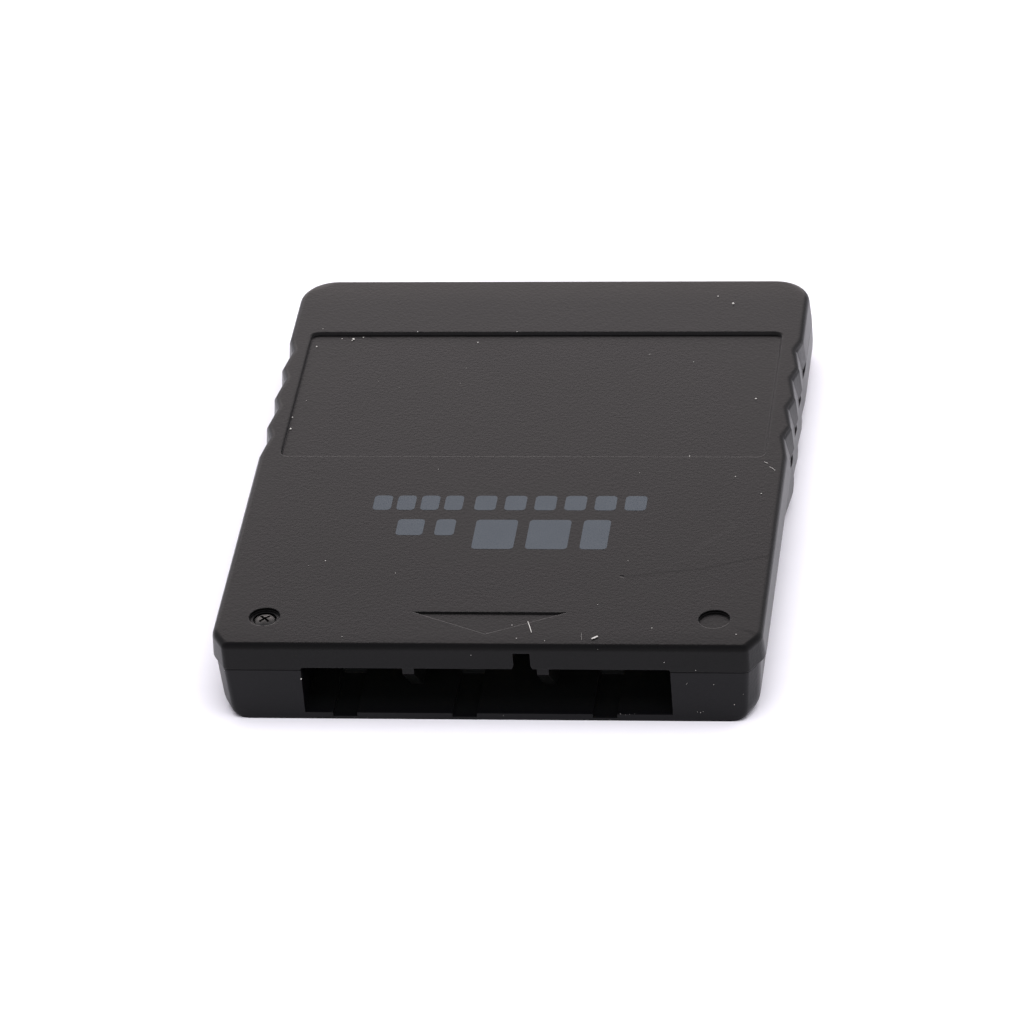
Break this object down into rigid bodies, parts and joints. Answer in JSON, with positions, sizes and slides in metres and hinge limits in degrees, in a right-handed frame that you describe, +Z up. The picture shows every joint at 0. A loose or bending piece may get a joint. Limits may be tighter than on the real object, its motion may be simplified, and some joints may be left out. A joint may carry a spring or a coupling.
{
  "type": "memory card",
  "caption": "Flat black memory card for a game console, with a connector opening at the front, toothed side grips at the rear, a shallow label recess, an arrow and a recessed screw.",
  "frame": {"origin": "middle of the underside, where the card rests", "axes": "+X to the card's right seen from above, +Y from the connector face to the gripped rear end, +Z up out of the label face"},
  "size_m": [0.044, 0.055, 0.007],
  "materials": {
    "shell": "black, fine spark-eroded grain",
    "board": "dark green solder mask",
    "contact": "gold plated",
    "chip": "moulded epoxy",
    "can": "plain metal can",
    "supply_part": "moulded ochre",
    "ceramic": "fired ceramic",
    "resistor": "glazed black",
    "screw": "dull plated steel"
  },
  "bodies": {
    "root": {"top_shell": "shell", "bottom_shell": "shell", "circuit_board": "board", "contact_1": "contact", "contact_2": "contact", "contact_3": "contact", "contact_4": "contact", "contact_5": "contact", "contact_6": "contact", "contact_7": "contact", "contact_8": "contact", "memory_chip": "chip", "controller_chip": "chip", "voltage_regulator": "chip", "resonator": "can", "supply_capacitor": "supply_part", "capacitor_1": "ceramic", "capacitor_2": "ceramic", "capacitor_3": "ceramic", "capacitor_4": "ceramic", "resistor_1": "resistor", "resistor_2": "resistor", "resistor_3": "resistor", "resistor_4": "resistor", "screw": "screw"}
  },
  "joints": []
}
